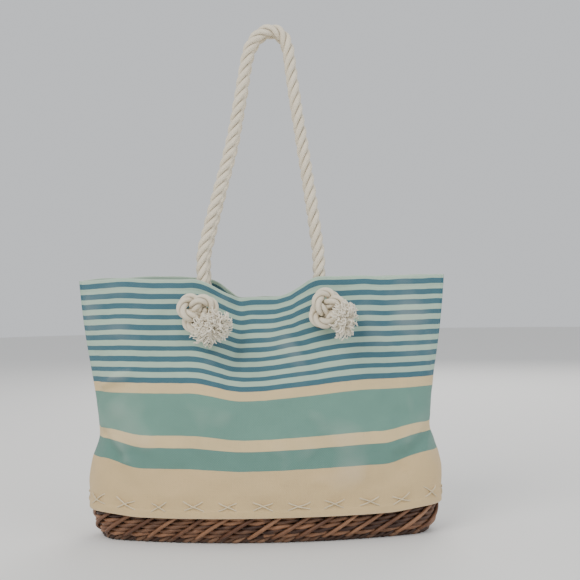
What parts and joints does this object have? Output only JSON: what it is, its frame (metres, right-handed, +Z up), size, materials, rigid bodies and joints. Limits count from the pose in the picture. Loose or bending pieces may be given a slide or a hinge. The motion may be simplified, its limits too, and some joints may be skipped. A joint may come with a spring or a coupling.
{
  "type": "beach bag",
  "caption": "Striped canvas beach bag sewn round a shallow willow basket, with knotted cotton rope handles that swing over the mouth.",
  "frame": {"origin": "middle of the bag on the surface that it stands on", "axes": "+Z up, +X along the bag's width to the right, -Y towards the front"},
  "size_m": [0.4542, 0.1836, 0.6265],
  "materials": {
    "striped_canvas": "woven cotton canvas in blue, cream, sage and linen stripes, matt",
    "seam_tape": "plain cotton binding",
    "willow_weave": "brown willow rods, satin",
    "willow_border": "brown willow rods, satin",
    "willow_floor": "brown willow rods, satin",
    "eyelet_metal": "dull antique brass",
    "cotton_rope": "natural twisted cotton, matt",
    "loose_yarn": "natural cotton yarn, frayed",
    "stitch_thread": "waxed cotton thread"
  },
  "bodies": {
    "bag": {"front_panel": "striped_canvas", "back_panel": "striped_canvas", "left_seam_tape": "seam_tape", "right_seam_tape": "seam_tape", "basket_floor": "willow_floor", "basket_foot": "willow_border", "basket_rim": "willow_border", "basket_front_wall": "willow_weave", "basket_back_wall": "willow_weave", "basket_left_wall": "willow_weave", "basket_right_wall": "willow_weave", "front_left_eyelet": "eyelet_metal", "front_right_eyelet": "eyelet_metal", "back_left_eyelet": "eyelet_metal", "back_right_eyelet": "eyelet_metal", "front_left_washer": "eyelet_metal", "front_right_washer": "eyelet_metal", "back_left_washer": "eyelet_metal", "back_right_washer": "eyelet_metal", "front_left_rope_leg": "cotton_rope", "front_right_rope_leg": "cotton_rope", "back_left_rope_leg": "cotton_rope", "back_right_rope_leg": "cotton_rope", "front_left_knot": "cotton_rope", "front_right_knot": "cotton_rope", "back_left_knot": "cotton_rope", "back_right_knot": "cotton_rope", "front_left_fray": "loose_yarn", "front_right_fray": "loose_yarn", "back_left_fray": "loose_yarn", "back_right_fray": "loose_yarn", "front_stitches": "stitch_thread", "back_stitches": "stitch_thread", "left_stitch": "stitch_thread", "right_stitch": "stitch_thread"},
    "front_handle": {"front_handle_rope": "cotton_rope"},
    "back_handle": {"back_handle_rope": "cotton_rope"}
  },
  "joints": [
    {"name": "front_handle_swing", "type": "hinge", "parent": "bag", "child": "front_handle", "pos_m": [0, -0.02187, 0.334], "axis": [1, 0, 0], "range_deg": [0, 120]},
    {"name": "back_handle_swing", "type": "hinge", "parent": "bag", "child": "back_handle", "pos_m": [0, 0.02187, 0.334], "axis": [-1, 0, 0], "range_deg": [0, 120]}
  ]
}
